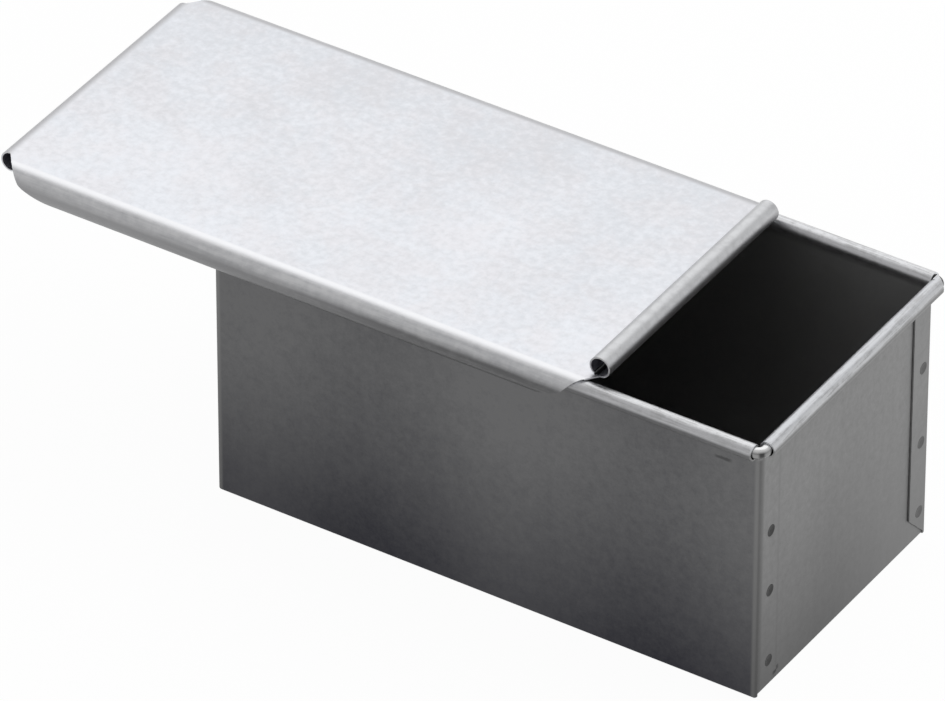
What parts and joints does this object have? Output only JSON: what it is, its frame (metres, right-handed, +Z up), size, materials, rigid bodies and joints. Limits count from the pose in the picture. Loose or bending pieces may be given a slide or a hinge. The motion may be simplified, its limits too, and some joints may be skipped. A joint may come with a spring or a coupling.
{
  "type": "pullman loaf pan with sliding lid",
  "caption": "Straight-sided folded sheet-metal loaf pan with a wire-rolled rim, riveted corner flaps and a lid whose side channels slide along the rim.",
  "frame": {"origin": "centre of the pan's flat underside, midway between its long sides and midway between its ends", "axes": "+X along the pan towards the end that the drawn lid leaves open, +Y across the pan towards its back long side, +Z up out of the pan"},
  "size_m": [0.269, 0.1098, 0.1002],
  "materials": {
    "pan_sheet": "dull grey aluminised steel sheet, satin, darker inside the pan",
    "rim_wire": "bright drawn steel wire",
    "lid_sheet": "light aluminised steel sheet with a faint mottle, satin",
    "rivets": "dull dark steel, slightly dished heads"
  },
  "bodies": {
    "pan": {"pan_body": "pan_sheet", "rim_wire": "rim_wire", "rivet_right_front_low": "rivets", "rivet_right_front_mid": "rivets", "rivet_right_front_top": "rivets", "rivet_right_back_low": "rivets", "rivet_right_back_mid": "rivets", "rivet_right_back_top": "rivets", "rivet_left_front_low": "rivets", "rivet_left_front_mid": "rivets", "rivet_left_front_top": "rivets", "rivet_left_back_low": "rivets", "rivet_left_back_mid": "rivets", "rivet_left_back_top": "rivets"},
    "lid": {"lid": "lid_sheet"}
  },
  "joints": [
    {"name": "lid_slide", "type": "slide", "parent": "pan", "child": "lid", "axis": [1, 0, 0], "range_m": [-0.105, 0.0657]}
  ]
}
